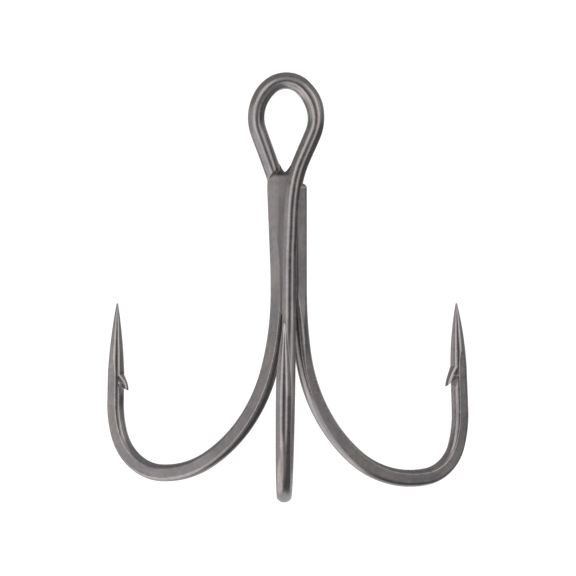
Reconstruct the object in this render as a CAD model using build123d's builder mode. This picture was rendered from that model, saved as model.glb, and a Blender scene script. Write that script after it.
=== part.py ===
from build123d import *
import os
from math import cos, radians, sin

# Treble hook, about size 1/0: one wire bent into two hooks and an eye, one single hook, and braze.
#
# Millimetres. +Z runs up the shank, the origin is the centre of the eye's opening, level with its
# widest part, and the front hook points to -Y. Seen from the front, the other two hooks stand out to
# the left and to the right, 120 degrees apart. Each hook is bent in its own plane, drawn with x
# outwards from the shank's axis and y up.

# --- Wire ---
WIRE_DIAMETER = 1.36            # 1.34 round the eye; forging spreads the bends to 1.38
FLAT_THICKNESS = 1.12           # across the flats forged on both sides of each shank and bend
WIRE_RADIUS = WIRE_DIAMETER / 2
FLAT_HALF = FLAT_THICKNESS / 2

# --- Shank: three wires side by side round one axis ---
SHANK_AXIS = Vector(0.22, 0.20, 0)   # the eye hangs a little to one side of the shank
DOUBLE_SHANK_RADIUS = 0.89           # from the shank's axis to the middle of the wire
SINGLE_SHANK_RADIUS = 0.90
LEFT_TURN = 150                      # direction of each hook, in degrees from +X
FRONT_TURN = -90.45
RIGHT_TURN = 30
FRONT_TILT = 0.48                    # the front hook's plane leans this much, in degrees
FRONT_OFFSET = 0.21                  # and stands this far off the shank's axis at the eye's height

# --- Eye: a teardrop loop, three rounded corners and two legs that close on the shank ---
LEFT_EYE_CORNER = (-2.90, 0.93)      # x and z of the loop's three corners
RIGHT_EYE_CORNER = (3.00, 0.69)
EYE_PEAK = (0.11, 3.79)
EYE_SIDE_RADIUS = 3.31
EYE_TOP_RADIUS = 1.93
EYE_TWIST = 0.10                     # the loop's left side stands back by this, its right side forward
LEFT_KNEE_Z = -4.93                  # the left leg turns down here, and leans in to the shank
LEFT_KNEE_RADIUS = 1.2
LEFT_KNEE_REACH = 1.20               # from the shank's axis to the middle of the wire at the left knee
LEFT_LEAN_END_Z = -12.6
RIGHT_KNEE = (0.83, -4.38)           # the right leg turns down in three easy bends: the first
RIGHT_KNEE_RADIUS = 8
RIGHT_SHOULDER = (0.50, -6.62)       # and of the second
RIGHT_SHOULDER_RADIUS = 20
FRONT_LEAN_END_Z = -10.8
LEAN_RADIUS = 40
FLATS_TOP_Z = -5.5
BEND_OUTER = 18.0                    # outside every hook's reach, sideways
BEND_BOTTOM = -31.0                  # and below

# --- Bends: radius and angle of each arc, from the shank round to the point ---
DOUBLE_STRAIGHT_Z = -14.03
DOUBLE_RADII = (21.74, 13.26, 8.54, 4.21, 8.30)
DOUBLE_ANGLES = (16.8, 41.4, 32.4, 72.8, 17.9)
DOUBLE_TAIL = 8.06
SINGLE_TOP_Z = -5.27
SINGLE_STRAIGHT_Z = -13.16
SINGLE_RADII = (40.73, 13.75, 8.61, 3.36, 9.08)
SINGLE_ANGLES = (7.9, 42.2, 48.3, 65.5, 18.5)
SINGLE_TAIL = 8.70
SINGLE_END_FILLET = 0.38

# --- Point and barb, measured back from the tip, and from the middle of the wire towards the shank ---
POINT_LENGTH = 5.6
DOUBLE_POINT_MIDDLE_RADIUS = 0.45    # the cones are slightly convex, the single hook's more so
SINGLE_POINT_MIDDLE_RADIUS = 0.50
POINT_TIP_RADIUS = 0.06
# A barb's corners: its foot, back, tip and root, then the end of the shallow chisel cut under it. Each
# hook is cut on its own, so the single hook's barb is longer and nearer the tip.
DOUBLE_BARB = ((5.75, 0.64), (6.42, 1.01), (7.02, 1.18), (6.40, 0.44), (7.42, 0.68))
SINGLE_BARB = ((5.05, 0.64), (5.85, 0.98), (6.66, 1.28), (5.75, 0.28), (7.15, 0.68))
BARB_HALF_WIDTH = 0.34

# --- Braze in the three grooves between the wires ---
BRAZE_TOP_Z = -4.40
BRAZE_HOLLOW = 0.10                  # how far each seam's face is dished
FRONT_LEFT_BRAZE_END_Z = -16.0
FRONT_RIGHT_BRAZE_END_Z = -14.9
BACK_BRAZE_END_Z = -15.5


def flat_direction(turn):
    """Unit vector in the horizontal plane at an angle from +X."""
    return Vector(cos(radians(turn)), sin(radians(turn)), 0)


def hook_plane(turn, tilt=0.0, offset=0.0):
    """Plane of one hook: x outwards from the shank's axis, y up."""
    outwards = flat_direction(turn)
    sideways = flat_direction(turn + 90)
    up = Vector(0, 0, 1) * cos(radians(tilt)) + sideways * sin(radians(tilt))
    return Plane(SHANK_AXIS + sideways * offset, x_dir=outwards, z_dir=outwards.cross(up))


LEFT_PLANE = hook_plane(LEFT_TURN)
RIGHT_PLANE = hook_plane(RIGHT_TURN)
FRONT_PLANE = hook_plane(FRONT_TURN, FRONT_TILT, FRONT_OFFSET)


def bend_outline(start, shank_radius, straight_z, radii, angles, tail, lean_z=None):
    """Middle line of one hook up to where its point begins to taper, drawn in its own plane."""
    with BuildLine() as outline:
        if lean_z is None:
            run = Line(start, (shank_radius, straight_z))
        else:
            run = FilletPolyline(start, (shank_radius, lean_z), (shank_radius, straight_z),
                                 radius=LEAN_RADIUS)
        for radius, angle in zip(radii, angles):
            run = JernArc(run @ 1, run % 1, radius, angle)
        Line(run @ 1, run @ 1 + (run % 1) * (tail - POINT_LENGTH))
    return outline.line


def point_plane(outline, plane):
    """Plane at the foot of the point: x towards the shank, y towards the tip."""
    along = outline % 1
    foot = plane.from_local_coords(outline @ 1)
    towards_shank = plane.from_local_coords(outline @ 1 + Vector(-along.Y, along.X, 0)) - foot
    towards_tip = plane.from_local_coords(outline @ 1 + along) - foot
    return Plane(foot, x_dir=towards_shank, z_dir=towards_shank.cross(towards_tip))


left_outline = bend_outline((LEFT_KNEE_REACH, LEFT_KNEE_Z - 1), DOUBLE_SHANK_RADIUS, DOUBLE_STRAIGHT_Z,
                            DOUBLE_RADII, DOUBLE_ANGLES, DOUBLE_TAIL, LEFT_LEAN_END_Z)
front_outline = bend_outline((DOUBLE_SHANK_RADIUS, FRONT_LEAN_END_Z - 1.5), DOUBLE_SHANK_RADIUS,
                             DOUBLE_STRAIGHT_Z, DOUBLE_RADII, DOUBLE_ANGLES, DOUBLE_TAIL)
single_outline = bend_outline((SINGLE_SHANK_RADIUS, SINGLE_TOP_Z), SINGLE_SHANK_RADIUS,
                              SINGLE_STRAIGHT_Z, SINGLE_RADII, SINGLE_ANGLES, SINGLE_TAIL)

# The eye's middle line starts on the left shank, goes round the loop and runs down to the front hook.
left_knee = LEFT_PLANE.from_local_coords(Vector(LEFT_KNEE_REACH, LEFT_KNEE_Z, 0))
left_shank_top = LEFT_PLANE.from_local_coords(left_outline @ 0)
front_lean_end = FRONT_PLANE.from_local_coords(Vector(DOUBLE_SHANK_RADIUS, FRONT_LEAN_END_Z, 0))
front_shank_top = FRONT_PLANE.from_local_coords(front_outline @ 0)
front_knee = Vector(RIGHT_KNEE[0], front_lean_end.Y, RIGHT_KNEE[1])
front_shoulder = Vector(RIGHT_SHOULDER[0], front_lean_end.Y, RIGHT_SHOULDER[1])
with BuildLine() as eye_line:
    FilletPolyline(
        left_shank_top,
        left_knee,
        (LEFT_EYE_CORNER[0], EYE_TWIST, LEFT_EYE_CORNER[1]),
        (EYE_PEAK[0], 0, EYE_PEAK[1]),
        (RIGHT_EYE_CORNER[0], -EYE_TWIST, RIGHT_EYE_CORNER[1]),
        front_knee,
        front_shoulder,
        front_lean_end,
        front_shank_top,
        radius=[
            LEFT_KNEE_RADIUS,
            EYE_SIDE_RADIUS,
            EYE_TOP_RADIUS,
            EYE_SIDE_RADIUS,
            RIGHT_KNEE_RADIUS,
            RIGHT_SHOULDER_RADIUS,
            LEAN_RADIUS,
        ],
    )


def add_wire(path):
    """Round wire along a path, added to the part being built."""
    with BuildSketch(Plane(path @ 0, z_dir=path % 0)) as section:
        Circle(WIRE_RADIUS)
    sweep(section.sketch, path=path)


def add_point(outline, plane, middle_radius, barb_corners):
    """Tapered point and raised barb at the end of one hook."""
    frame = point_plane(outline, plane)
    with BuildSketch(frame) as taper:
        with BuildLine():
            Polyline((0, 0), (WIRE_RADIUS, 0))
            ThreePointArc((WIRE_RADIUS, 0), (middle_radius, POINT_LENGTH / 2),
                          (POINT_TIP_RADIUS, POINT_LENGTH))
            Polyline((POINT_TIP_RADIUS, POINT_LENGTH), (0, POINT_LENGTH), (0, 0))
        make_face()
    revolve(taper.sketch, axis=Axis(frame.origin, frame.y_dir))

    corners = [(height, POINT_LENGTH - back) for back, height in barb_corners]
    barb_foot, barb_back, barb_tip, barb_root, cut_end = corners
    with BuildSketch(frame) as barb:
        with BuildLine():
            ThreePointArc(barb_foot, barb_back, barb_tip)
            Polyline(barb_tip, barb_root, barb_foot)
        make_face()
    extrude(barb.sketch, amount=BARB_HALF_WIDTH, both=True)
    with BuildSketch(frame) as cut:
        with BuildLine():
            Polyline(barb_root, barb_tip, (barb_tip[0], cut_end[1]), cut_end, close=True)
        make_face()
    extrude(cut.sketch, amount=WIRE_DIAMETER, both=True, mode=Mode.SUBTRACT)


def press_flats(plane, top, bottom, inner, outer):
    """Cut the two side flats of a wire that lies in a plane, between two heights and two radii."""
    for side in (1, -1):
        with BuildSketch(plane.offset(side * FLAT_HALF)) as flat:
            with Locations(((inner + outer) / 2, (top + bottom) / 2)):
                Rectangle(outer - inner, top - bottom)
        extrude(flat.sketch, amount=side * WIRE_RADIUS, mode=Mode.SUBTRACT)


flat_inner = DOUBLE_SHANK_RADIUS - WIRE_RADIUS

# --- Double hook: left hook, eye and front hook in one wire ---
lean_down = front_lean_end - front_shoulder
lean_plane = Plane(front_lean_end, x_dir=FRONT_PLANE.x_dir, z_dir=FRONT_PLANE.x_dir.cross(-lean_down))
with BuildPart() as double_hook:
    add_wire(eye_line.line)
    for outline, plane in ((left_outline, LEFT_PLANE), (front_outline, FRONT_PLANE)):
        add_wire(plane.from_local_coords(outline))
        add_point(outline, plane, DOUBLE_POINT_MIDDLE_RADIUS, DOUBLE_BARB)
    press_flats(LEFT_PLANE, FLATS_TOP_Z, BEND_BOTTOM, flat_inner, BEND_OUTER)
    press_flats(FRONT_PLANE, FRONT_LEAN_END_Z, BEND_BOTTOM, flat_inner, BEND_OUTER)
    press_flats(lean_plane, RIGHT_SHOULDER[1] - FRONT_LEAN_END_Z, 0, -WIRE_RADIUS, WIRE_RADIUS)
double_hook.part.label = "double_hook"

# --- Single hook: its shank ends under the eye, with a rounded end ---
with BuildPart() as single_hook:
    add_wire(RIGHT_PLANE.from_local_coords(single_outline))
    add_point(single_outline, RIGHT_PLANE, SINGLE_POINT_MIDDLE_RADIUS, SINGLE_BARB)
    fillet(single_hook.edges().sort_by(Axis.Z)[-1], SINGLE_END_FILLET)
    press_flats(RIGHT_PLANE, FLATS_TOP_Z, BEND_BOTTOM, SINGLE_SHANK_RADIUS - WIRE_RADIUS, BEND_OUTER)
single_hook.part.label = "single_hook"


def wire_middle(name, z):
    """Where the middle of one shank wire stands at a height."""
    if name == "left":
        lean = max(0, z - LEFT_LEAN_END_Z) / (LEFT_KNEE_Z - LEFT_LEAN_END_Z)
        radius = DOUBLE_SHANK_RADIUS + (LEFT_KNEE_REACH - DOUBLE_SHANK_RADIUS) * lean
        return LEFT_PLANE.from_local_coords(Vector(radius, z, 0))
    if name == "right":
        return RIGHT_PLANE.from_local_coords(Vector(SINGLE_SHANK_RADIUS, z, 0))
    if z < FRONT_LEAN_END_Z:
        return FRONT_PLANE.from_local_coords(Vector(DOUBLE_SHANK_RADIUS, z, 0))
    return front_lean_end + (front_knee - front_lean_end) * (
        (z - FRONT_LEAN_END_Z) / (RIGHT_KNEE[1] - FRONT_LEAN_END_Z)
    )


def seam(first, second, bottom_z):
    """Braze in the groove between two wires, each given as its name and the way the braze reaches."""
    with BuildPart() as filler:
        for z in (BRAZE_TOP_Z, bottom_z):
            near = wire_middle(first[0], z)
            far = wire_middle(second[0], z)
            near_edge = near + flat_direction(first[1]) * (FLAT_HALF + 0.02)
            far_edge = far + flat_direction(second[1]) * (FLAT_HALF + 0.02)
            middle = (near_edge + far_edge) / 2
            inwards = (SHANK_AXIS + Vector(0, 0, z) - middle).normalized()
            corners = [Vector(point.X, point.Y, 0) for point in
                       (near_edge, middle + inwards * BRAZE_HOLLOW, far_edge, far, SHANK_AXIS, near)]
            with BuildSketch(Plane.XY.offset(z)):
                with BuildLine():
                    ThreePointArc(*corners[:3])
                    Polyline(*corners[2:], corners[0])
                make_face()
        loft(ruled=True)
        add(double_hook.part, mode=Mode.SUBTRACT)
        add(single_hook.part, mode=Mode.SUBTRACT)
        # The sloping legs of the eye cut slivers off the seam's top corners, which are left out.
        add(filler.solids().sort_by(SortBy.VOLUME)[-1], mode=Mode.REPLACE)
    return filler


# --- Braze: one deposit that fills the three grooves, split along the wires into its three seams ---
front_left_braze = seam(("left", -90), ("front", -135), FRONT_LEFT_BRAZE_END_Z)
front_left_braze.part.label = "front_left_braze"
front_right_braze = seam(("front", 0), ("right", -90), FRONT_RIGHT_BRAZE_END_Z)
front_right_braze.part.label = "front_right_braze"
back_braze = seam(("right", 150), ("left", 30), BACK_BRAZE_END_Z)
back_braze.part.label = "back_braze"

os.makedirs("parts", exist_ok=True)
for piece in (double_hook, single_hook, front_left_braze, front_right_braze, back_braze):
    export_step(piece.part, f"parts/{piece.part.label}.step")
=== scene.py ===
"""Looks of the treble hook: swept wires with forged flats, chisel-cut barbs and braze, in black nickel.

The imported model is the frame. The wires follow the CAD model's middle lines, whose sizes are repeated
here in millimetres. Meshes are built in millimetres, and scaled to metres when a piece is finished.
"""

from math import cos, pi, radians, sin, sqrt

import bmesh
import bpy
import numpy as np
from mathutils import Matrix, Vector


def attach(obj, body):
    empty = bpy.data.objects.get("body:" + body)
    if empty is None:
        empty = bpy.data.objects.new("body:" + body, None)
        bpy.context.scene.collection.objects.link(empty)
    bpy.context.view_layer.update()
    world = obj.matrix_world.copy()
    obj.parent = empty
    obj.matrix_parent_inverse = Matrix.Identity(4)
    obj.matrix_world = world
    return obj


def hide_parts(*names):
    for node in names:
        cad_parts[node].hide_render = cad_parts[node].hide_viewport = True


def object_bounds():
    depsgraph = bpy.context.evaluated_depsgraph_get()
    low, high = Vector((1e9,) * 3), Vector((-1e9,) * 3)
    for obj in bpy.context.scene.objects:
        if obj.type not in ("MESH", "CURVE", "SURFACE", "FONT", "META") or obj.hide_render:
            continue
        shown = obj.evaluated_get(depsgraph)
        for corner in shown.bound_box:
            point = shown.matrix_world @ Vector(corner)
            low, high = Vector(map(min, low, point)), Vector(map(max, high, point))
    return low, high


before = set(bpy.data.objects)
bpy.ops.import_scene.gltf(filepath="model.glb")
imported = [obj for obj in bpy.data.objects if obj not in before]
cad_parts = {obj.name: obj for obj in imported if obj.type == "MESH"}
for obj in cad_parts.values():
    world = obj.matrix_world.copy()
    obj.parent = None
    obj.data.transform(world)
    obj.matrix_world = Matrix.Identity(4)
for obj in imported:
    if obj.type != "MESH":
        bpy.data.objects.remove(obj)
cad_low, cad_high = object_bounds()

MM = 0.001
UP = np.array((0.0, 0.0, 1.0))

# --- Wire ---
WIRE_RADIUS = 0.67
FORGED_SPREAD = 1.035                # the flats squeeze the wire this much wider in the hook's plane
FLAT_HALF_POINT = 0.610              # half the thickness across the flats: near the point,
FLAT_HALF_BEND = 0.565               # round the bend,
FLAT_HALF_SHANK = 0.55               # and on the shank, where the wires were pressed harder
FLATS_TO_BEND = (6, 14)              # they deepen between these lengths from the tip,
FLATS_TO_SHANK = (24, 34)            # and again between these
SPREAD_GROWS = (4, 9)                # the spread grows between these
FLATS_TOP_Z = -5.5
FLATS_FADE = 0.5
EDGE_EASE = 0.045                    # how far the edge of a flat is rounded over, to each side
RING_STEP = 0.104                    # between the rings of a wire's mesh
FINE_RINGS = 4                       # so many rings to one step in the neck, between these two heights
FINE_LOW_Z = -5.4
FINE_HIGH_Z = -3.4
ARC_POINTS = 10                      # points of a ring's quarter: on its round side,
EASE_POINTS = 4                      # over the edge of the flat,
FLAT_POINTS = 6                      # and on the flat

# --- Shank ---
SHANK_AXIS = np.array((0.22, 0.20, 0.0))
DOUBLE_SHANK_RADIUS = 0.89
SINGLE_SHANK_RADIUS = 0.90
LEFT_TURN = 150
FRONT_TURN = -90.45
RIGHT_TURN = 30
FRONT_TILT = 0.48
FRONT_OFFSET = 0.21

# --- Eye ---
LEFT_EYE_CORNER = (-2.90, 0.93)      # x and z of the loop's three corners
RIGHT_EYE_CORNER = (3.00, 0.69)
EYE_PEAK = (0.11, 3.79)
EYE_SIDE_RADIUS = 3.31
EYE_TOP_RADIUS = 1.93
EYE_TWIST = 0.10                     # how far the sides stand forwards and back of the eye's plane
EYE_TURN_Z = (-5.0, -1.0)            # the section turns from the shank's to the eye's in between
LEFT_KNEE_Z = -4.93
LEFT_KNEE_RADIUS = 1.2
LEFT_KNEE_REACH = 1.20
LEFT_LEAN_END_Z = -12.6
RIGHT_KNEE = (0.83, -4.38)
RIGHT_KNEE_RADIUS = 8
RIGHT_SHOULDER = (0.50, -6.62)
RIGHT_SHOULDER_RADIUS = 20
FRONT_LEAN_END_Z = -10.8
LEAN_RADIUS = 40

# The eye's wire is thicker near each of these places, and bulges outwards and inwards by these.
BULGE_REACH = 0.9
BULGES = (
    ((2.20, 0.0, 1.25), (0.87, 0.0, 0.50), 0.045, 0.045),
    ((1.25, 0.0, 2.45), (0.50, 0.0, 0.87), 0.025, 0.030),
    ((-1.75, 0.0, 2.00), (-0.64, 0.0, 0.77), 0.040, 0.005),
    ((-2.00, 0.0, -1.50), (-0.82, 0.0, -0.57), 0.035, 0.0),
    ((2.00, 0.0, -1.70), (0.76, 0.0, -0.65), 0.035, 0.0),
)

# --- Bends ---
DOUBLE_STRAIGHT_Z = -14.03
DOUBLE_RADII = (21.74, 13.26, 8.54, 4.21, 8.30)
DOUBLE_ANGLES = (16.8, 41.4, 32.4, 72.8, 17.9)
DOUBLE_TAIL = 8.06
SINGLE_TOP_Z = -5.27
SINGLE_STRAIGHT_Z = -13.16
SINGLE_RADII = (40.73, 13.75, 8.61, 3.36, 9.08)
SINGLE_ANGLES = (7.9, 42.2, 48.3, 65.5, 18.5)
SINGLE_TAIL = 8.70
SINGLE_END_ROUNDING = 0.38
SINGLE_UNPRESSED = (7.6, 11.6, 12.2, 18.5)   # distances from its end: the flats fade out, then come back

# --- Point and barb, measured back from the tip, and from the middle of the wire towards the shank ---
DOUBLE_POINT = (5.6, 0.09)           # length of the cone, and how far its middle stands out
SINGLE_POINT = (5.2, 0.125)
POINT_TIP_RADIUS = 0.065
TIP_REACH = POINT_TIP_RADIUS * 0.7   # how far the very tip stands out past the last ring
# Foot, back and tip of the tongue, then the root of the cut and the end of its shallow floor.
DOUBLE_BARB = ((5.72, 0.65), (6.42, 1.07), (7.02, 1.18), (6.40, 0.44), (7.35, 0.65))
SINGLE_BARB = ((5.02, 0.64), (5.95, 1.08), (6.66, 1.28), (5.75, 0.28), (7.07, 0.65))

# --- Die mark: a ledge that slants across the foot of the eye's left leg ---
LEDGE_FOOT = (-1.16, -4.70)          # x and z of a point on it
LEDGE_SLOPE = 1.17
LEDGE_EASE = (-0.05, 0.17)           # the step is rounded between these heights off it

# --- Finish, painted shade and a painted tip highlight, in lengths from the tip or from the start of the wire ---
DARKER_RUN = (23.0, 36.0)            # painted shade darkens the left bend here, and fades over RUN_FADE
RUN_FADE = 3.0
RUN_PAINTED_SHADE = 0.30
TURN_PAINTED_SHADE = 0.34                     # painted shade on the front shank too, where it turns forwards
PAINTED_TIP_GLINT = (0.1, 1.4)                # a painted highlight on the front tip, up to here
POLISHED_POINT = (5.0, 9.0)          # points are ground smooth, up to here
LEDGE_PAINTED_SHADE = (0.6, 0.13)             # painted shade under the ledge: how far along it, and how far off it

# --- Braze ---
FRONT_LEFT_BRAZE_END_Z = -16.0
FRONT_RIGHT_BRAZE_END_Z = -14.9
BACK_BRAZE_END_Z = -15.5
SIDE_BRAZE_TOP_Z = -5.0
SEAM_COLUMNS = 26                    # profiles across a seam
SEAM_LEVELS = 90                     # and points up each of them
PROUD = 0.004                        # how far a seam's edge stands off a flat
NECK_LOW = (-0.015, -4.325)          # x and z of the bottom of the U between the eye's legs
NECK_HALF = 0.42                     # the U is this wide to each side
NECK_FLOOR_SHARE = 0.6               # share of the U's half that is floor; the rest climbs the leg
NECK_CLIMB = 0.40                    # the braze thins out up each leg, by this

# --- Camera ---
CAMERA_PLACE = (9.084, -510.96, 17.096)
CAMERA_HEADING = (-0.0174, 0.99805, -0.0600)
CAMERA_LENS = 399.7


# ---------------------------------------------------------------- camera
def make_camera():
    """Camera at the photograph's angle: far off with a long lens, a little above the hook."""
    data = bpy.data.cameras.new("camera")
    data.lens = CAMERA_LENS
    data.sensor_width = 36.0
    data.clip_start = 0.05
    data.clip_end = 20.0
    camera = bpy.data.objects.new("camera", data)
    bpy.context.scene.collection.objects.link(camera)
    camera.location = Vector(CAMERA_PLACE) * MM
    camera.rotation_mode = "QUATERNION"
    camera.rotation_quaternion = Vector(CAMERA_HEADING).to_track_quat("-Z", "Y")
    bpy.context.scene.camera = camera


make_camera()


# ---------------------------------------------------------------- middle lines
class HookPlane:
    """The plane one hook is bent in: x outwards from the shank's axis, y up."""

    def __init__(self, turn, tilt=0.0, offset=0.0):
        self.outwards = np.array((cos(radians(turn)), sin(radians(turn)), 0.0))
        sideways = np.cross(UP, self.outwards)
        self.up = UP * cos(radians(tilt)) + sideways * sin(radians(tilt))
        self.normal = np.cross(self.outwards, self.up)
        self.origin = SHANK_AXIS + sideways * offset

    def place(self, points):
        """Points drawn in the plane, as points in space."""
        points = np.atleast_2d(points)
        return self.origin + points[:, :1] * self.outwards + points[:, 1:2] * self.up


LEFT = HookPlane(LEFT_TURN)
FRONT = HookPlane(FRONT_TURN, FRONT_TILT, FRONT_OFFSET)
RIGHT = HookPlane(RIGHT_TURN)


def rounded_route(corners, radii):
    """Fine points along straight runs joined by tangent arcs, one radius for each inner corner."""
    corners = [np.array(corner, float) for corner in corners]
    points = [corners[0]]
    for before, corner, after, radius in zip(corners, corners[1:], corners[2:], radii):
        back = (before - corner) / np.linalg.norm(before - corner)
        ahead = (after - corner) / np.linalg.norm(after - corner)
        half_turn = (pi - np.arccos(np.clip(back @ ahead, -1, 1))) / 2
        inwards = (back + ahead) / np.linalg.norm(back + ahead)
        along = (ahead - back) / np.linalg.norm(ahead - back)
        centre = corner + inwards * radius / cos(half_turn)
        for angle in np.linspace(-half_turn, half_turn, 60):
            points.append(centre + radius * (along * sin(angle) - inwards * cos(angle)))
    points.append(corners[-1])
    return np.array(points)


def bend_route(straight_end, radii, angles, tail):
    """Fine points round a chain of tangent arcs, from a shank that heads down, then along the tail."""
    points = [np.array(straight_end, float)]
    heading = -pi / 2
    for radius, angle in zip(radii, angles):
        centre = points[-1] + radius * np.array((-sin(heading), cos(heading)))
        for turned in np.linspace(0, radians(angle), 60)[1:]:
            points.append(centre + radius * np.array((sin(heading + turned), -cos(heading + turned))))
        heading += radians(angle)
    points.append(points[-1] + tail * np.array((cos(heading), sin(heading))))
    return np.array(points)


def double_route():
    """From the left tip round its bend, up the shank, round the eye and down to the front tip."""
    bend = bend_route((DOUBLE_SHANK_RADIUS, DOUBLE_STRAIGHT_Z), DOUBLE_RADII, DOUBLE_ANGLES, DOUBLE_TAIL)
    left_top = (LEFT_KNEE_REACH, LEFT_KNEE_Z - 1)
    lean = rounded_route((left_top, (DOUBLE_SHANK_RADIUS, LEFT_LEAN_END_Z),
                          (DOUBLE_SHANK_RADIUS, DOUBLE_STRAIGHT_Z)), (LEAN_RADIUS,))
    front_lean_end = FRONT.place((DOUBLE_SHANK_RADIUS, FRONT_LEAN_END_Z))[0]
    front_top = (DOUBLE_SHANK_RADIUS, FRONT_LEAN_END_Z - 1.5)
    eye = rounded_route(
        (
            LEFT.place(left_top)[0],
            LEFT.place((LEFT_KNEE_REACH, LEFT_KNEE_Z))[0],
            (LEFT_EYE_CORNER[0], EYE_TWIST, LEFT_EYE_CORNER[1]),
            (EYE_PEAK[0], 0, EYE_PEAK[1]),
            (RIGHT_EYE_CORNER[0], -EYE_TWIST, RIGHT_EYE_CORNER[1]),
            (RIGHT_KNEE[0], front_lean_end[1], RIGHT_KNEE[1]),
            (RIGHT_SHOULDER[0], front_lean_end[1], RIGHT_SHOULDER[1]),
            front_lean_end,
            FRONT.place(front_top)[0],
        ),
        (LEFT_KNEE_RADIUS, EYE_SIDE_RADIUS, EYE_TOP_RADIUS, EYE_SIDE_RADIUS, RIGHT_KNEE_RADIUS,
         RIGHT_SHOULDER_RADIUS, LEAN_RADIUS),
    )
    left = LEFT.place(np.concatenate((lean, bend)))[::-1]
    return np.concatenate((left, eye, FRONT.place(bend)))


def single_route():
    """From the end under the eye down the right shank and round its bend to the tip."""
    bend = bend_route((SINGLE_SHANK_RADIUS, SINGLE_STRAIGHT_Z), SINGLE_RADII, SINGLE_ANGLES, SINGLE_TAIL)
    return RIGHT.place(np.concatenate((((SINGLE_SHANK_RADIUS, SINGLE_TOP_Z),), bend)))


def smooth_step(value, low, high):
    """0 below low, 1 above high, and an easy curve between."""
    t = np.clip((value - low) / (high - low), 0, 1)
    return t * t * (3 - 2 * t)


class Wire:
    """A wire's middle line in even steps, with its heading, its flats' normal and its size at each."""

    def __init__(self, route):
        route = route[np.concatenate(([True], np.linalg.norm(np.diff(route, axis=0), axis=1) > 1e-6))]
        travelled = np.concatenate(([0], np.cumsum(np.linalg.norm(np.diff(route, axis=0), axis=1))))
        self.length = travelled[-1]
        steps = FINE_RINGS * int(round(self.length / RING_STEP))
        fine = np.linspace(0, self.length, steps + 1)
        height = np.interp(fine, travelled, route[:, 2])
        in_neck = (height > FINE_LOW_Z) & (height < FINE_HIGH_Z)
        self.distance = fine[in_neck | (np.arange(steps + 1) % FINE_RINGS == 0)]
        self.line = np.stack([np.interp(self.distance, travelled, route[:, i]) for i in range(3)], axis=1)
        tangent = np.gradient(self.line, self.distance, axis=0)
        self.tangent = tangent / np.linalg.norm(tangent, axis=1)[:, None]

    def set_normals(self, normals):
        """Flats' normal at each ring, made square to the wire."""
        across = normals - (normals * self.tangent).sum(1)[:, None] * self.tangent
        self.normal = across / np.linalg.norm(across, axis=1)[:, None]
        self.side = np.cross(self.tangent, self.normal)

    def set_sizes(self, from_tip, point, flats_top, unpressed=None):
        """Radius, spread and half thickness at each ring, from its distance back from the nearest tip."""
        length, bulge = point
        t = np.clip(from_tip / length, 0, 1)
        cone = POINT_TIP_RADIUS + (WIRE_RADIUS - POINT_TIP_RADIUS) * t + 4 * bulge * t * (1 - t)
        self.from_tip = from_tip
        self.radius = np.minimum(cone, WIRE_RADIUS)
        half = FLAT_HALF_POINT + (FLAT_HALF_BEND - FLAT_HALF_POINT) * smooth_step(from_tip, *FLATS_TO_BEND)
        half = half + (FLAT_HALF_SHANK - FLAT_HALF_BEND) * smooth_step(from_tip, *FLATS_TO_SHANK)
        fade = smooth_step(self.line[:, 2], flats_top, flats_top + FLATS_FADE)
        if unpressed:
            fade = fade + (smooth_step(self.distance, unpressed[0], unpressed[1])
                           * smooth_step(self.distance, unpressed[3], unpressed[2]))
        self.half = np.minimum(half + (WIRE_RADIUS - half) * fade, self.radius * 0.9985)
        self.spread = 1 + (FORGED_SPREAD - 1) * (1 - fade) * smooth_step(from_tip, *SPREAD_GROWS)

    def at(self, distance):
        """Middle, flats' normal and side direction at a distance from the wire's start."""
        return [np.array([np.interp(distance, self.distance, field[:, i]) for i in range(3)])
                for field in (self.line, self.normal, self.side)]


def double_wire():
    """The double hook's wire. Its section turns round in the eye, from the left flats to the front ones."""
    wire = Wire(double_route())
    peak = int(np.argmax(wire.line[:, 2]))
    z = wire.line[:, 2]
    before = np.arange(len(z)) < peak
    in_eye = smooth_step(z, *EYE_TURN_Z)
    shank_normal = np.where(before[:, None], LEFT.normal, -FRONT.normal)
    wire.set_normals(shank_normal * (1 - in_eye)[:, None] + np.array((0.0, 1.0, 0.0)) * in_eye[:, None])
    wire.set_sizes(np.minimum(wire.distance, wire.length - wire.distance), DOUBLE_POINT, FLATS_TOP_Z)
    return wire


def single_wire():
    """The single hook's wire, with its shank's end rounded over."""
    wire = Wire(single_route())
    wire.set_normals(np.repeat(RIGHT.normal[None], len(wire.line), axis=0))
    wire.set_sizes(wire.length - wire.distance, SINGLE_POINT, SINGLE_TOP_Z, SINGLE_UNPRESSED)
    return wire


double = double_wire()
single = single_wire()


# ---------------------------------------------------------------- wire meshes
def wire_section(radius, half):
    """Outline of a round wire with two flats, as points (along the flats' normal, along the flats)."""
    corner = np.arcsin(half / radius)
    chord = radius * cos(corner)
    ease = min(EDGE_EASE, chord * 0.45)
    arc = np.linspace(0, corner - ease / radius, ARC_POINTS + 1)
    outline = [(radius * sin(a), radius * cos(a)) for a in arc]
    start, knee, end = np.array(outline[-1]), np.array((half, chord)), np.array((half, chord - ease))
    for t in np.linspace(0, 1, EASE_POINTS + 1)[1:]:
        outline.append(start * (1 - t) ** 2 + knee * 2 * t * (1 - t) + end * t * t)
    outline += [(half, along) for along in np.linspace(chord - ease, 0, FLAT_POINTS + 1)[1:]]
    outline = np.array(outline)
    forwards, backwards = outline[:-1], outline[:0:-1]
    return np.concatenate((forwards, backwards * (1, -1), -forwards, backwards * (-1, 1)))


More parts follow.
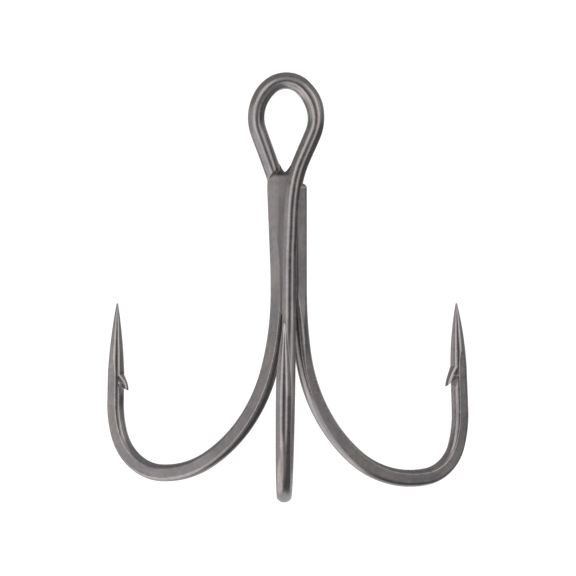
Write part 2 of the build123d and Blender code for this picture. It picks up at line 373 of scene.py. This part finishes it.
def solid_from_rings(name, rings, start_cap=None, end_cap=None):
    """Closed mesh through rings with the same number of points, each end closed on a middle point."""
    rings = np.array(rings)
    count = rings.shape[1]
    vertices = rings.reshape(-1, 3).tolist()
    vertices.append(list(rings[0].mean(0) if start_cap is None else start_cap))
    vertices.append(list(rings[-1].mean(0) if end_cap is None else end_cap))
    start, end = len(vertices) - 2, len(vertices) - 1
    last = (len(rings) - 1) * count
    faces = []
    for i in range(len(rings) - 1):
        for j in range(count):
            k = (j + 1) % count
            faces.append((i * count + j, i * count + k, (i + 1) * count + k, (i + 1) * count + j))
    for j in range(count):
        k = (j + 1) % count
        faces.append((start, k, j))
        faces.append((end, last + j, last + k))
    mesh = bpy.data.meshes.new(name)
    mesh.from_pydata(vertices, [], faces)
    mesh.validate()
    work = bmesh.new()
    work.from_mesh(mesh)
    bmesh.ops.recalc_face_normals(work, faces=work.faces[:])
    work.to_mesh(mesh)
    work.free()
    thing = bpy.data.objects.new(name, mesh)
    bpy.context.scene.collection.objects.link(thing)
    return thing


def bulge_shoulders(rings):
    """Where the eye is bent tightest its wire is squeezed a little thicker, most of all at the right."""
    for place, outwards, outer, inner in BULGES:
        middles = rings.mean(axis=1)
        near = np.exp(-(((middles - np.array(place)) ** 2).sum(1)) / BULGE_REACH ** 2)
        facing = ((rings - middles[:, None]) @ np.array(outwards)) / WIRE_RADIUS
        size = np.where(facing > 0, outer, inner) * facing * np.abs(facing) ** 0.5
        rings = rings + (near[:, None] * size)[..., None] * np.array(outwards)
    return rings


def above_ledge(points):
    """Height above the die mark's slanting line."""
    return points[..., 2] - LEDGE_FOOT[1] - (points[..., 0] - LEDGE_FOOT[0]) * LEDGE_SLOPE


def press_left_flat(rings):
    """Presses the left flat's face up to the die mark, which leaves a ledge there."""
    face = -LEFT.normal
    x, z = rings[..., 0], rings[..., 2]
    proud = (rings - SHANK_AXIS) @ face - FLAT_HALF_SHANK
    here = (z > -6.2) & (z < -3.0) & (proud > 0) & (x < 0.1)
    knee = LEFT.place((LEFT_KNEE_REACH, -4.6))[0]
    near_left = ((rings.mean(axis=1) - knee) ** 2).sum(1) < 2.2 ** 2
    keep = smooth_step(above_ledge(rings), *LEDGE_EASE)
    lower = np.where(here & near_left[:, None], proud * (1 - keep), 0)
    return rings - lower[..., None] * face


def swept_wire(name, wire, start_rounding=0.0):
    """Closed mesh of a wire. Its start can be rounded over, instead of ending in a point."""
    rings = []
    for i, middle in enumerate(wire.line):
        if start_rounding and wire.distance[i] < start_rounding * 1.05:
            continue
        section = wire_section(wire.radius[i], wire.half[i]) * (1, wire.spread[i])
        rings.append(middle + section[:, :1] * wire.normal[i] + section[:, 1:] * wire.side[i])
    rings = press_left_flat(bulge_shoulders(np.array(rings))) if not start_rounding else rings
    start = wire.line[0] - wire.tangent[0] * TIP_REACH
    if start_rounding:
        start = wire.line[0]
        rounded = []
        for angle in np.linspace(0, pi / 2, 9):
            depth = start_rounding * (1 - cos(angle))
            shrink = 1 - start_rounding * (1 - sin(angle)) / WIRE_RADIUS
            section = wire_section(WIRE_RADIUS, wire.half[0]) * shrink * (1, wire.spread[0])
            middle = wire.line[0] + wire.tangent[0] * depth
            rounded.append(middle + section[:, :1] * wire.normal[0] + section[:, 1:] * wire.side[0])
        rings = rounded + rings
    end = wire.line[-1] + wire.tangent[-1] * TIP_REACH
    return solid_from_rings(name, rings, start, end)


def combine(target, tool, operation):
    """Boolean of two closed meshes. The tool is used up."""
    modifier = target.modifiers.new("cut", "BOOLEAN")
    modifier.operation = operation
    modifier.solver = "EXACT"
    modifier.object = tool
    depsgraph = bpy.context.evaluated_depsgraph_get()
    made = bpy.data.meshes.new_from_object(target.evaluated_get(depsgraph))
    target.modifiers.clear()
    old = target.data
    target.data = made
    bpy.data.meshes.remove(old)
    bpy.data.objects.remove(tool)


def barb_frame(wire, at_end, plane):
    """Function from (distance back from the tip, height towards the shank, width) to a point in space."""
    def place(back, height, width):
        distance = wire.length - back if at_end else back
        middle, normal, side = wire.at(distance)
        towards_shank = side if side @ plane.outwards < 0 else -side
        return middle + towards_shank * height + normal * width
    return place


def add_barb(hook, wire, at_end, plane, corners):
    """Cuts the chisel's shallow notch into the wire, then raises the tongue over it."""
    notch_half, notch_top = 0.7, 0.9
    place = barb_frame(wire, at_end, plane)
    foot, back, tip, root, cut_end = (np.array(corner) for corner in corners)

    slope = (cut_end[1] - root[1]) / (cut_end[0] - root[0])
    rings = []
    for distance in np.linspace(root[0], cut_end[0] + 0.10, 9):
        floor = root[1] + slope * (distance - root[0])
        outline = ((floor, -notch_half), (floor, notch_half),
                   (notch_top, notch_half), (notch_top, -notch_half))
        rings.append([place(distance, height, width) for height, width in outline])
    combine(hook, solid_from_rings("notch", rings), "DIFFERENCE")

    # The tongue's top follows one easy curve from its foot, a little way inside the wire, to its tip.
    rings = []
    for t in np.linspace(-0.12, 1, 37):
        top = foot * (1 - t) ** 2 + (2 * back - (foot + tip) / 2) * 2 * t * (1 - t) + tip * t * t
        beyond = max(0.0, (top[0] - root[0]) / (tip[0] - root[0]))
        chord = root[1] + (WIRE_RADIUS - 0.006 - root[1]) * min(beyond, 0.985)
        base = root[1] + (tip[1] - root[1]) * beyond
        reach = np.arccos(chord / WIRE_RADIUS)
        inset = 0.985 if beyond == 0 else 1.0
        height = max(top[1] - base, 0.012)
        ring = []
        for angle in np.linspace(-reach, reach, 21):
            rise = (WIRE_RADIUS * cos(angle) - chord) / (WIRE_RADIUS - chord)
            ring.append(place(top[0], base + height * rise, WIRE_RADIUS * sin(angle) * inset))
        for width in np.linspace(1, -1, 9)[1:-1]:
            ring.append(place(top[0], base, WIRE_RADIUS * sin(reach) * inset * width))
        rings.append(ring)
    combine(hook, solid_from_rings("tongue", rings), "UNION")


def nearest_rings(wire, points):
    """Index of the ring that each point is nearest to, worked out in blocks to save memory."""
    block = 2000
    nearest = np.zeros(len(points), int)
    for start in range(0, len(points), block):
        away = points[start:start + block, None, :] - wire.line[None]
        nearest[start:start + block] = np.argmin((away ** 2).sum(2), axis=1)
    return nearest


def ledge_painted_shade(points):
    """Painted shade in the corner under the left flat's ledge."""
    reach, depth = LEDGE_PAINTED_SHADE
    foot = LEFT.place((LEFT_KNEE_REACH - 0.1, -4.5))[0] - LEFT.normal * FLAT_HALF_SHANK
    near_foot = np.exp(-((points - foot) ** 2).sum(1) / reach ** 2)
    return near_foot * np.exp(-((above_ledge(points) + 0.03) / depth) ** 2)


def painted_run_shade(points, run, is_front):
    """Painted shade round the left bend, and on the front shank where it turns forwards."""
    rise, fall = DARKER_RUN
    left = smooth_step(run, rise - RUN_FADE, rise) * smooth_step(run, fall + RUN_FADE, fall)
    height = points[:, 2]
    turning = smooth_step(height, -15.4, -16.6) * smooth_step(height, -22.5, -20.5)
    on_shank = smooth_step(points[:, 1], -13.0, -11.0)
    return RUN_PAINTED_SHADE * left + TURN_PAINTED_SHADE * is_front * turning * on_shank


def finish_wire(hook, wire, is_double):
    """Straightened-out coordinates, flats, wear, painted shade and the front tip's painted highlight for
    the materials, then shading and scale.
    """
    mesh = hook.data
    points = np.zeros(len(mesh.vertices) * 3)
    mesh.vertices.foreach_get("co", points)
    points = points.reshape(-1, 3)
    nearest = nearest_rings(wire, points)
    offset = points - wire.line[nearest]
    run = wire.distance[nearest] + (offset * wire.tangent[nearest]).sum(1)
    across = (offset * wire.normal[nearest]).sum(1)
    along = (offset * wire.side[nearest]).sum(1)
    straight = mesh.attributes.new("straight", "FLOAT_VECTOR", "POINT")
    unrolled = np.stack((run, across, along), axis=1)
    straight.data.foreach_set("vector", unrolled.astype(np.float32).ravel())

    radius = wire.radius[nearest]
    half = np.minimum(wire.half[nearest], radius)
    chord = np.sqrt(np.maximum(radius ** 2 - half ** 2, 0)) * wire.spread[nearest]
    flat = smooth_step(np.abs(across), half - 0.03, half - 0.004) * smooth_step(chord, 0.08, 0.2)
    from_tip = wire.from_tip[nearest]
    # painted shade: the ledge's corner, and on the double hook the left bend and the front shank's turn
    painted_shade = ledge_painted_shade(points)
    painted_tip_glint = np.zeros(len(points))
    if is_double:
        is_front = run > wire.length / 2
        # painted shade along the left bend and the front shank's turn
        painted_shade = painted_shade + painted_run_shade(points, run, is_front)
        # painted highlight: the front tip's colour is lightened, on the front hook only
        painted_tip_glint = is_front * (1 - smooth_step(from_tip, *PAINTED_TIP_GLINT))
    fields = {
        "chord": chord,
        "flat": flat,
        "painted_shade": np.clip(painted_shade * 1.6, 0, 1),
        "polish": 1 - smooth_step(from_tip, *POLISHED_POINT),
        "painted_tip_glint": painted_tip_glint,
    }
    for label, values in fields.items():
        field = mesh.attributes.new(label, "FLOAT", "POINT")
        field.data.foreach_set("value", values.astype(np.float32))
    mesh.transform(Matrix.Scale(MM, 4))
    mesh.shade_smooth()
    mesh.set_sharp_from_angle(angle=radians(38))


# ---------------------------------------------------------------- braze meshes
def shank_table(line):
    """Points of a middle line that runs down from its highest point to below the braze, lowest first."""
    above = line[: int(np.argmax(line[:, 2] < FRONT_LEFT_BRAZE_END_Z - 1))]
    return above[::-1]


peak = int(np.argmax(double.line[:, 2]))
SHANK_TABLES = {
    "left": shank_table(double.line[peak::-1]),
    "front": shank_table(double.line[peak:]),
    "right": shank_table(single.line),
}


def wire_middle(name, z):
    """Where the middle of one shank wire, or of the eye's leg above it, stands at a height."""
    table = SHANK_TABLES[name]
    return np.array([np.interp(z, table[:, 2], table[:, 0]), np.interp(z, table[:, 2], table[:, 1]), z])


def eased(value, stops):
    """Value of a curve that eases from stop to stop; each stop is (position, value), rising."""
    result = stops[0][1]
    for (low, start), (high, end) in zip(stops, stops[1:]):
        result += (end - start) * smooth_step(value, low, high)
    return result


def even_points(line, count):
    """The same line as count points an even distance apart."""
    travelled = np.concatenate(([0], np.cumsum(np.linalg.norm(np.diff(line, axis=0), axis=1))))
    steps = np.linspace(0, travelled[-1], count)
    return np.stack([np.interp(steps, travelled, line[:, i]) for i in range(line.shape[1])], axis=1)


def on_flat(plane, name, z, facing, inset, proud=PROUD):
    """Point on a shank wire's flat: inset from the flat's middle towards the axis, proud of its face."""
    return (wire_middle(name, z) + plane.normal * facing * (FLAT_HALF_SHANK + proud)
            - plane.outwards * inset)


def front_left_face(z):
    """Across the front left groove: flush with the left flat, then steeply up to the front wire."""
    inset = eased(z, ((-5.50, 0.30), (-5.15, -0.36)))
    flush_to = eased(z, ((-12.0, 0.44), (-9.5, 0.36), (-7.0, 0.56), (-5.0, 0.60)))
    reach = eased(z, ((-14.0, 0.31), (-6.5, 0.416)))
    start = on_flat(LEFT, "left", z, -1, inset)
    corner = on_flat(LEFT, "left", z, -1, flush_to, 0.016)
    turn = np.arcsin(reach / WIRE_RADIUS)
    end = wire_middle("front", z) + (WIRE_RADIUS - 0.03) * np.array((-sin(turn), -cos(turn), 0.0))
    return rounded_route((start, corner, end), (0.16,))


def fillet_face(start, start_pull, end, end_pull):
    """A dished face between two points, leaving each along its own direction."""
    t = np.linspace(0, 1, 30)[:, None]
    return (start * (1 - t) ** 3 + (start + start_pull) * 3 * t * (1 - t) ** 2
            + (end + end_pull) * 3 * t ** 2 * (1 - t) + end * t ** 3)


def front_right_face(z):
    """Across the front right groove: a dished fillet from the front wire's flat to the right one."""
    start = wire_middle("front", z) + np.array((FLAT_HALF_SHANK + PROUD, -0.16, 0.0))
    inset = eased(z, ((-14.0, 0.25), (-10.0, 0.32), (-6.0, 0.40)))
    end = on_flat(RIGHT, "right", z, 1, inset)
    return fillet_face(start, np.array((0.0, 0.30, 0.0)), end, -RIGHT.outwards * 0.16)


def back_face(z):
    """Across the groove at the back."""
    start = on_flat(RIGHT, "right", z, -1, 0.12)
    end = on_flat(LEFT, "left", z, 1, 0.12)
    return fillet_face(start, -RIGHT.outwards * 0.42, end, -LEFT.outwards * 0.42)


def leg_inside(name, side, z):
    """The innermost point of one of the eye's legs at a height. Side is -1 left and 1 right."""
    rise = 0.2
    middle, above = wire_middle(name, z), wire_middle(name, z + rise)
    slope = (above[0] - middle[0]) / rise
    return middle - side * np.array((WIRE_RADIUS * sqrt(1 + slope ** 2), 0.0, 0.0))


def neck_ridge(u):
    """Point on the braze's ridge between the eye's legs: a U whose ends thin out up both of them."""
    side = -1 if u < 0.5 else 1
    name = "left" if u < 0.5 else "front"
    t = abs(2 * u - 1)
    across = min(t / NECK_FLOOR_SHARE, 1.0) * NECK_HALF
    climb = max(t - NECK_FLOOR_SHARE, 0.0) / (1 - NECK_FLOOR_SHARE)
    z = NECK_LOW[1] + 2.7 * across ** 2
    x = NECK_LOW[0] + side * across
    if climb > 0:
        proud = x - leg_inside(name, side, z)[0]
        z += NECK_CLIMB * climb
        x = leg_inside(name, side, z)[0] + proud * (1 - climb) + side * 0.04 * climb
    left_y, right_y = wire_middle("left", z)[1], wire_middle("front", z)[1]
    y = left_y + (right_y - left_y) * smooth_step(side * across, -NECK_HALF, NECK_HALF)
    return np.array((x, y, z))


def seam(face, bottom_z, top_z):
    """Profiles up the face of the braze in one groove, each with how far across it they stand."""
    columns = SEAM_COLUMNS
    levels = np.linspace(0, 1, SEAM_LEVELS)
    heights = bottom_z + (top_z(0.5) - bottom_z) * levels
    faces = []
    for z, level in zip(heights, levels):
        line = even_points(face(z), columns)
        inwards = SHANK_AXIS + np.array((0, 0, z)) - line[columns // 2]
        inwards = inwards / np.linalg.norm(inwards)
        faces.append(line + inwards * 0.5 * (1 - smooth_step(level, 0.0, 0.07)) ** 2)
    faces = np.array(faces)
    profiles = []
    for column in range(columns):
        u = column / (columns - 1)
        profile = faces[:, column].copy()
        profile[:, 2] = bottom_z + (top_z(u) - bottom_z) * levels
        profiles.append((u, profile))
    return profiles


def tuck_in(rings, first, last):
    """Adds a column at each side of a seam that dives into the wire, so that no edge stands proud."""
    tucked = []
    for ring, name in ((rings[0], first), (rings[-1], last)):
        middles = np.array([wire_middle(name, z) for z in ring[:, 2]])
        tucked.append(ring + (middles - ring) * 0.35)
    return [tucked[0], *rings, tucked[1]]


def neck_braze():
    """The front left seam. Its top is a saddle between the eye's legs, with painted shade along its lip."""
    def top_z(u):
        return eased(u, ((0.0, -4.76), (0.35, -4.62), (0.8, -4.54), (1.0, -4.36)))

    def saddle(edge, ridge, t):
        """From the edge of the face, upright at first, over to the ridge."""
        across = edge + (ridge - edge) * (1 - cos(t * pi / 2))
        return np.array((across[0], across[1], edge[2] + (ridge[2] - edge[2]) * sin(t * pi / 2)))

    def up_right_leg(edge, ridge, t):
        """The same way, but just inside the right leg's surface, from its shoulder to its inner side."""
        z = edge[2] + (ridge[2] - edge[2]) * sin(t * pi / 2)
        middle = wire_middle("front", z)
        shoulder = np.arctan2(wire_middle("front", edge[2])[0] - edge[0],
                              wire_middle("front", edge[2])[1] - edge[1])
        turn = shoulder + (pi / 2 - shoulder) * (1 - cos(t * pi / 2))
        inner = middle[0] - leg_inside("front", 1, z)[0]
        return middle - np.array(((inner - 0.03) * sin(turn), (WIRE_RADIUS - 0.03) * cos(turn), 0.0))

    columns = seam(front_left_face, FRONT_LEFT_BRAZE_END_Z, top_z)
    last_edge, last_ridge = columns[-1][1][-1], neck_ridge(1.0)
    rings = []
    for u, profile in columns:
        edge, ridge = profile[-1], neck_ridge(u)
        lip = []
        for t in np.linspace(0, 1, 17)[1:]:
            to_leg = up_right_leg(last_edge, last_ridge, t) - saddle(last_edge, last_ridge, t)
            lip.append(saddle(edge, ridge, t) + to_leg * u ** 3)
        ridge = lip[-1]
        back = ridge + np.array((0.08, 0.45, -0.50))
        inside = SHANK_AXIS + np.array((0.0, 0.1, 0.0))
        low = [(*inside[:2], back[2] - 0.8), (*inside[:2], FRONT_LEFT_BRAZE_END_Z + 0.4)]
        behind = ridge * 0.5 + back * 0.5 + (0, 0, 0.08)
        rings.append(np.concatenate((profile, lip, [behind, back], low)))
    # painted shade along the top of each profile and over the saddle's lip
    shade = np.zeros(len(rings[0]))
    shade[SEAM_LEVELS:] = 1.0
    shade[SEAM_LEVELS - 3:SEAM_LEVELS + 2] = (0.15, 0.35, 0.6, 0.85, 1.0)
    return braze_piece("front_left_fillet", tuck_in(rings, "left", "front"), shade)


def side_braze(name, wires, face, bottom_z):
    """A seam whose top is dished and rounded over."""
    rings = []
    for u, profile in seam(face, bottom_z, lambda u: SIDE_BRAZE_TOP_Z - 0.5 * u * (1 - u)):
        edge = profile[-1]
        axis = SHANK_AXIS + np.array((0.0, 0.0, edge[2]))
        lip = [edge + (axis - edge) * 0.5 * (1 - cos(t)) + UP * 0.12 * sin(t)
               for t in np.linspace(0, pi / 2, 6)[1:]]
        low = [(*SHANK_AXIS[:2], edge[2] - 0.2), (*SHANK_AXIS[:2], bottom_z + 0.4)]
        rings.append(np.concatenate((profile, lip, low)))
    return braze_piece(name, tuck_in(rings, *wires), np.zeros(len(rings[0])))


def braze_piece(name, rings, shade):
    """Closed mesh of one seam. The shade is how much painted shade each point of a profile gets."""
    thing = solid_from_rings(name, rings)
    mesh = thing.data
    painted_shade = mesh.attributes.new("painted_shade", "FLOAT", "POINT")
    with_caps = np.concatenate((np.tile(shade, len(rings)), (0, 0)))
    painted_shade.data.foreach_set("value", with_caps.astype(np.float32))
    mesh.transform(Matrix.Scale(MM, 4))
    mesh.shade_smooth()
    mesh.set_sharp_from_angle(angle=radians(50))
    return thing


# ---------------------------------------------------------------- node helpers
class Nodes:
    """Short ways to add shader nodes to one tree."""

    def __init__(self, tree):
        self.tree = tree
        tree.nodes.clear()

    def new(self, kind, inputs=(), **settings):
        """Adds a node. Each input is a value or another node's output."""
        node = self.tree.nodes.new(kind)
        for key, value in settings.items():
            setattr(node, key, value)
        for key, value in dict(inputs).items():
            self.set(node, key, value)
        return node

    def set(self, node, key, value):
        """Gives one input a value or a link."""
        if isinstance(value, bpy.types.NodeSocket):
            self.tree.links.new(value, node.inputs[key])
        else:
            node.inputs[key].default_value = value

    def math(self, operation, *values):
        """Result of a Math node."""
        return self.new("ShaderNodeMath", dict(enumerate(values)), operation=operation).outputs[0]

    def ramp(self, value, low, high, out_low=0.0, out_high=1.0):
        """Value eased from out_low at low to out_high at high."""
        node = self.new(
            "ShaderNodeMapRange",
            {"Value": value, "From Min": low, "From Max": high, "To Min": out_low, "To Max": out_high},
            interpolation_type="SMOOTHSTEP",
        )
        return node.outputs["Result"]

    def mix(self, factor, first, second, blend="MIX"):
        """Result of a colour mix."""
        node = self.new("ShaderNodeMix", data_type="RGBA", blend_type=blend)
        for index, value in ((0, factor), (6, first), (7, second)):
            self.set(node, index, value)
        return node.outputs[2]

    def noise(self, vector, scale, detail=3.0, rough=0.55, distort=0.0):
        """Height of a noise texture, about 0.5 on average."""
        node = self.new(
            "ShaderNodeTexNoise",
            {"Vector": vector, "Scale": scale, "Detail": detail, "Roughness": rough, "Distortion": distort},
        )
        return node.outputs["Fac"]

    def stretched(self, vector, factors):
        """A coordinate stretched along its axes."""
        node = self.new("ShaderNodeVectorMath", {0: vector, 1: factors}, operation="MULTIPLY")
        return node.outputs[0]


# ---------------------------------------------------------------- materials
def plated_metal(name, tint, roughness, flat_roughness, straight):
    """Black nickel over steel: drawing lines along the wire, fine grain, mottling and worn edges, with
    painted shade and a painted highlight on the front tip.
    """
    brightest = 1.9                      # keeps the tinted colour below 1
    material = bpy.data.materials.new(name)
    material.use_nodes = True
    nodes = Nodes(material.node_tree)
    if straight:
        place = nodes.new("ShaderNodeAttribute", attribute_name="straight").outputs["Vector"]
        chord = nodes.new("ShaderNodeAttribute", attribute_name="chord").outputs["Fac"]
        flat = nodes.new("ShaderNodeAttribute", attribute_name="flat").outputs["Fac"]
        parts = nodes.new("ShaderNodeSeparateXYZ", {0: place})
        from_edge = nodes.math("ABSOLUTE", nodes.math(
            "SUBTRACT", nodes.math("ABSOLUTE", parts.outputs[2]), chord))
        edge = nodes.ramp(from_edge, 0.0, 0.075, 1.0, 0.0)
        edge = nodes.math("MULTIPLY", edge, nodes.ramp(chord, 0.06, 0.2))
    else:
        coordinates = nodes.new("ShaderNodeTexCoord").outputs["Object"]
        place = nodes.stretched(coordinates, (1000.0, 1000.0, 1000.0))
        flat = 1.0
        edge = 0.0
        braze_height = nodes.new("ShaderNodeSeparateXYZ", {0: place}).outputs[2]

    streaks = nodes.noise(nodes.stretched(place, (0.35, 7.0, 7.0)), 1.0, 4.0, 0.6)
    mottle = nodes.noise(place, 2.4, 4.0, 0.6, 0.6)
    clouds = nodes.noise(place, 0.35, 2.0)
    grain = nodes.noise(nodes.stretched(place, (9.0, 20.0, 20.0)), 1.0, 2.0, 0.6)

    # Colour: mottled plating, lighter where its edges are rubbed and its points ground, lighter still at
    # the front tip's painted highlight, and darker under painted shade.
    value = nodes.math("MULTIPLY", nodes.ramp(mottle, 0.25, 0.75, 0.90, 1.10),
                       nodes.ramp(streaks, 0.25, 0.75, 0.93, 1.07))
    value = nodes.math("MULTIPLY", value, nodes.ramp(clouds, 0.3, 0.7, 0.95, 1.05))
    value = nodes.math("MULTIPLY", value, nodes.ramp(grain, 0.25, 0.75, 0.93, 1.07))
    if not straight:
        # painted shade: the braze is darkened towards its top, under the eye
        value = nodes.math("MULTIPLY", value, nodes.ramp(braze_height, -5.6, -5.1, 1.0, 0.88))
    polish = nodes.new("ShaderNodeAttribute", attribute_name="polish").outputs["Fac"]
    value = nodes.math("MULTIPLY", value, nodes.math("MULTIPLY_ADD", polish, 0.10, 1.0))
    # painted shade from the wire and braze meshes darkens the colour here
    painted_shade = nodes.new("ShaderNodeAttribute", attribute_name="painted_shade").outputs["Fac"]
    value = nodes.math("MULTIPLY", value, nodes.ramp(painted_shade, 0.0, 1.0, 1.0, 0.55))
    rubbed = nodes.math("MULTIPLY", edge, nodes.ramp(mottle, 0.35, 0.6, 0.35, 1.0))
    value = nodes.math("MULTIPLY", value, nodes.math("MULTIPLY_ADD", rubbed, 0.28, 1.0))
    # painted highlight: lightens the front tip's colour by up to 80%
    painted_tip_glint = nodes.new("ShaderNodeAttribute", attribute_name="painted_tip_glint").outputs["Fac"]
    value = nodes.math("MULTIPLY", value, nodes.math("MULTIPLY_ADD", painted_tip_glint, 0.8, 1.0))
    value = nodes.math("MINIMUM", value, brightest)
    cool = tuple(channel * 0.97 for channel in tint[:2]) + (tint[2] * 1.01, 1.0)
    warm = (tint[0] * 1.02, tint[1], tint[2] * 0.97, 1.0)
    hue = nodes.mix(nodes.ramp(clouds, 0.35, 0.65), cool, warm)
    shade = nodes.new("ShaderNodeCombineColor", {0: value, 1: value, 2: value}).outputs[0]
    colour = nodes.mix(1.0, hue, shade, "MULTIPLY")

    # Roughness: the forged flats are duller than the drawn round sides, and the edges are polished.
    rough = nodes.math("MULTIPLY_ADD", flat, flat_roughness - roughness, roughness)
    rough = nodes.math("ADD", rough, nodes.ramp(streaks, 0.2, 0.8, -0.035, 0.035))
    rough = nodes.math("ADD", rough, nodes.ramp(mottle, 0.2, 0.8, -0.04, 0.05))
    rough = nodes.math("MULTIPLY_ADD", rubbed, -0.05, rough)
    rough = nodes.math("MULTIPLY_ADD", polish, -0.06, rough)

    # Relief: drawing lines and a fine grain, deeper on the flats.
    depth = nodes.math("MULTIPLY_ADD", flat, 0.6, 0.4)
    height = nodes.math("ADD", nodes.math("MULTIPLY", streaks, 0.7), nodes.math("MULTIPLY", grain, 0.5))
    height = nodes.math("MULTIPLY", height, depth)
    pits = nodes.new("ShaderNodeTexVoronoi", {"Vector": place, "Scale": 5.0}).outputs["Distance"]
    height = nodes.math("ADD", height, nodes.ramp(pits, 0.02, 0.14, -0.5, 0.0))
    bump = nodes.new("ShaderNodeBump", {"Height": height, "Strength": 0.35, "Distance": 0.004 * MM})

    shader = nodes.new("ShaderNodeBsdfPrincipled", {
        "Base Color": colour,
        "Roughness": rough,
        "Metallic": 1.0,
        "Normal": bump.outputs[0],
    })
    nodes.new("ShaderNodeOutputMaterial", {0: shader.outputs[0]})
    return material


def floor_material():
    """Plain white sweep, bright enough to lose its shadows as a product table does."""
    material = bpy.data.materials.new("floor")
    material.use_nodes = True
    nodes = Nodes(material.node_tree)
    shader = nodes.new("ShaderNodeBsdfPrincipled", {
        "Base Color": (0.9, 0.9, 0.9, 1.0),
        "Roughness": 0.9,
        "Emission Color": (1.0, 1.0, 1.0, 1.0),
        "Emission Strength": 0.85,
    })
    nodes.new("ShaderNodeOutputMaterial", {0: shader.outputs[0]})
    return material


# ---------------------------------------------------------------- pieces
def settle(piece, material, node):
    """Gives a finished piece its material and its CAD body, and hides the CAD node that it stands for."""
    piece.data.materials.clear()
    piece.data.materials.append(material)
    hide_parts(node)
    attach(piece, "root")


wire_metal = plated_metal("black_nickel_wire", (0.505, 0.472, 0.470), 0.20, 0.34, True)
braze_metal = plated_metal("black_nickel_braze", (0.495, 0.464, 0.460), 0.30, 0.34, False)

hook = swept_wire("double_hook_wire", double)
add_barb(hook, double, False, LEFT, DOUBLE_BARB)
add_barb(hook, double, True, FRONT, DOUBLE_BARB)
finish_wire(hook, double, True)
settle(hook, wire_metal, "double_hook")

hook = swept_wire("single_hook_wire", single, SINGLE_END_ROUNDING)
add_barb(hook, single, True, RIGHT, SINGLE_BARB)
finish_wire(hook, single, False)
settle(hook, wire_metal, "single_hook")

settle(neck_braze(), braze_metal, "front_left_braze")

seam_piece = side_braze("front_right_fillet", ("front", "right"), front_right_face, FRONT_RIGHT_BRAZE_END_Z)
settle(seam_piece, braze_metal, "front_right_braze")

seam_piece = side_braze("back_fillet", ("right", "left"), back_face, BACK_BRAZE_END_Z)
settle(seam_piece, braze_metal, "back_braze")


# ---------------------------------------------------------------- floor and light
FLOOR_HALF = 8.0                                   # metres
ROOM_LIGHT = 0.25
# Each box: azimuth from the camera and half width, lowest and highest elevation, soft edge, strength.
LIGHT_BOXES = (
    (-33.0, 9.0, -18.0, 28.0, 12.0, 0.52),         # tall soft box left of the camera
    (41.0, 6.0, -10.0, 30.0, 11.0, 0.50),          # another to the right
    (64.0, 16.0, 5.5, 30.0, 12.0, 0.22),           # its wide, dimmer surround
    (-90.0, 40.0, -74.0, -40.0, 18.0, 0.58),       # bright table, low on the left
    (-78.0, 34.0, -34.0, 2.0, 12.0, 0.24),         # its far end
    (-17.0, 12.0, -68.0, -16.0, 10.0, 0.42),       # and its near end
    (5.0, 34.0, 16.0, 44.0, 14.0, 0.20),           # ceiling above the camera
    (180.0, 40.0, -62.0, 12.0, 15.0, 0.30),        # table behind
)
DARK_BOXES = (
    (96.0, 46.0, -100.0, -7.0, 10.0, 0.55),        # dark room, low on the right
    (78.0, 10.0, -10.0, 5.0, 8.0, 0.40),           # its edge
    (4.0, 9.0, -11.0, 13.0, 6.0, 0.64),            # the camera itself
)


def make_floor():
    """Large plain floor at the lowest point of the hook."""
    low = cad_low[2]
    corners = ((-1, -1), (1, -1), (1, 1), (-1, 1))
    mesh = bpy.data.meshes.new("floor")
    mesh.from_pydata([(x * FLOOR_HALF, y * FLOOR_HALF, low) for x, y in corners], [], [(0, 1, 2, 3)])
    mesh.materials.append(floor_material())
    floor = bpy.data.objects.new("floor", mesh)
    bpy.context.scene.collection.objects.link(floor)
    floor.visible_glossy = False


def make_world():
    """A white studio: soft boxes beside the camera, a bright table in front and a dim room behind."""
    world = bpy.data.worlds.new("studio")
    bpy.context.scene.world = world
    world.use_nodes = True
    nodes = Nodes(world.node_tree)
    direction = nodes.new("ShaderNodeTexCoord").outputs["Generated"]
    parts = nodes.new("ShaderNodeSeparateXYZ", {0: direction})
    azimuth = nodes.math("DEGREES", nodes.math(
        "ARCTAN2", parts.outputs[0], nodes.math("MULTIPLY", parts.outputs[1], -1.0)))
    elevation = nodes.math("DEGREES", nodes.math("ARCSINE", parts.outputs[2]))

    def soft_box(middle, half_width, low, high, edge, strength):
        """A soft-edged light between two elevations, half_width degrees to each side of an azimuth."""
        away = nodes.math("SUBTRACT", azimuth, middle)
        away = nodes.math("ABSOLUTE", nodes.math("WRAP", away, 180.0, -180.0))
        across = nodes.ramp(away, half_width, half_width + edge, 1.0, 0.0)
        above = nodes.ramp(elevation, low - edge, low)
        below = nodes.ramp(elevation, high, high + edge, 1.0, 0.0)
        return nodes.math("MULTIPLY", nodes.math("MULTIPLY", across, above),
                          nodes.math("MULTIPLY", below, strength))

    light = ROOM_LIGHT
    for box in LIGHT_BOXES:
        light = nodes.math("ADD", light, soft_box(*box))
    for box in DARK_BOXES:
        light = nodes.math("MULTIPLY", light, nodes.math("SUBTRACT", 1.0, soft_box(*box)))
    colour = nodes.new("ShaderNodeCombineColor", {0: light, 1: light, 2: light}).outputs[0]
    camera_ray = nodes.new("ShaderNodeLightPath").outputs["Is Camera Ray"]
    seen = nodes.mix(camera_ray, colour, (1.0, 1.0, 1.0, 1.0))
    background = nodes.new("ShaderNodeBackground", {"Color": seen, "Strength": 1.0})
    nodes.new("ShaderNodeOutputWorld", {0: background.outputs[0]})


make_floor()
make_world()
bpy.context.scene.view_settings.view_transform = "Standard"
